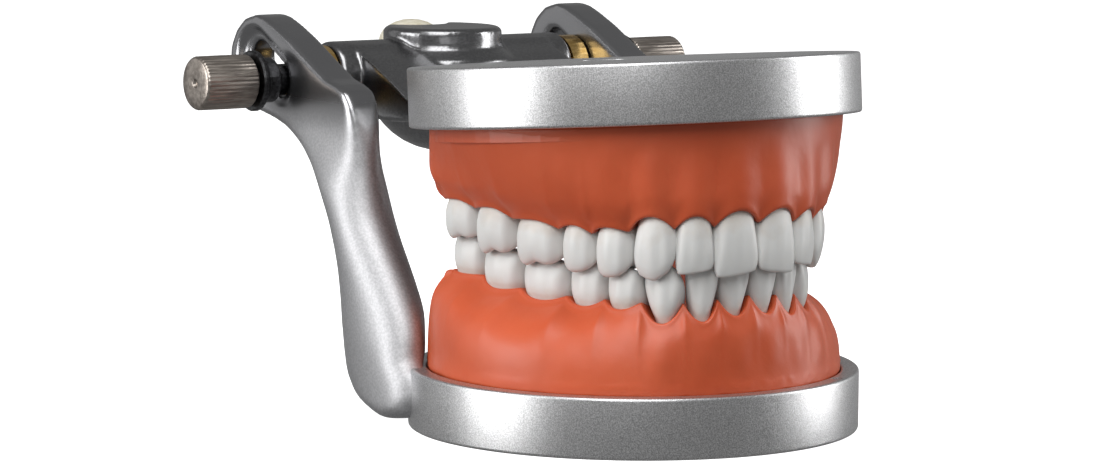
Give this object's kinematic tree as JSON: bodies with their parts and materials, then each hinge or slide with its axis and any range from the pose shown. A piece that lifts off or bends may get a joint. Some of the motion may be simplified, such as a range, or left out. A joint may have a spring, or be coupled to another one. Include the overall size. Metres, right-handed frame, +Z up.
{
  "type": "dental articulator",
  "caption": "Hinged dental articulator with round mounting cups, slotted rear arms, knurled thumb nuts and removable model teeth set in upper and lower gum ridges.",
  "frame": {"origin": "centre of the lower cup's flat underside", "axes": "+Z up, -Y towards the front teeth, +X towards the model's left side; the hinge axle is parallel to X"},
  "size_m": [0.1016, 0.1137, 0.0665],
  "materials": {
    "frame_alloy": "satin",
    "nickel": "satin nickel plate",
    "brass": "machined",
    "dark_steel": "blackened",
    "steel": "machined",
    "gum": "satin, slightly glossy",
    "jaw_resin": "matte",
    "tooth": "matte to satin"
  },
  "bodies": {
    "lower_jaw": {"lower_frame": "frame_alloy", "lower_gingiva": "gum", "lower_jaw_base": "jaw_resin", "lower_jaw_screw": "steel", "lower_left_canine": "tooth", "lower_left_central_incisor": "tooth", "lower_left_first_molar": "tooth", "lower_left_first_premolar": "tooth", "lower_left_lateral_incisor": "tooth", "lower_left_second_molar": "tooth", "lower_left_second_premolar": "tooth", "lower_left_third_molar": "tooth", "lower_right_canine": "tooth", "lower_right_central_incisor": "tooth", "lower_right_first_molar": "tooth", "lower_right_first_premolar": "tooth", "lower_right_lateral_incisor": "tooth", "lower_right_second_molar": "tooth", "lower_right_second_premolar": "tooth", "lower_right_third_molar": "tooth", "cup_pin": "steel"},
    "axle": {"hinge_axle": "steel", "right_slide_bush": "dark_steel", "left_slide_bush": "dark_steel", "right_washer": "dark_steel", "left_washer": "dark_steel"},
    "upper_jaw": {"upper_frame": "frame_alloy", "upper_gingiva": "gum", "upper_jaw_base": "jaw_resin", "upper_jaw_screw": "steel", "upper_left_canine": "tooth", "upper_left_central_incisor": "tooth", "upper_left_first_molar": "tooth", "upper_left_first_premolar": "tooth", "upper_left_lateral_incisor": "tooth", "upper_left_second_molar": "tooth", "upper_left_second_premolar": "tooth", "upper_left_third_molar": "tooth", "upper_right_canine": "tooth", "upper_right_central_incisor": "tooth", "upper_right_first_molar": "tooth", "upper_right_first_premolar": "tooth", "upper_right_lateral_incisor": "tooth", "upper_right_second_molar": "tooth", "upper_right_second_premolar": "tooth", "upper_right_third_molar": "tooth", "stop_screw": "nickel", "right_tube_bush": "brass", "left_tube_bush": "brass"},
    "right_thumb_nut": {"right_knob": "nickel"},
    "left_thumb_nut": {"left_knob": "nickel"}
  },
  "joints": [
    {"name": "protrusion", "type": "hinge", "parent": "lower_jaw", "child": "axle", "pos_m": [0, 0.0956, -0.0061], "axis": [-1, 0, 0], "range_deg": [0, 5.75]},
    {"name": "jaw_hinge", "type": "hinge", "parent": "axle", "child": "upper_jaw", "pos_m": [0, 0.0595, 0.0555], "axis": [-1, 0, 0], "range_deg": [0, 75]},
    {"name": "right_nut_turn", "type": "hinge", "parent": "axle", "child": "right_thumb_nut", "pos_m": [-0.0455, 0.0595, 0.0555], "axis": [-1, 0, 0], "range_deg": [0, 720]},
    {"name": "left_nut_turn", "type": "hinge", "parent": "axle", "child": "left_thumb_nut", "pos_m": [0.0455, 0.0595, 0.0555], "axis": [1, 0, 0], "range_deg": [0, 720]}
  ]
}
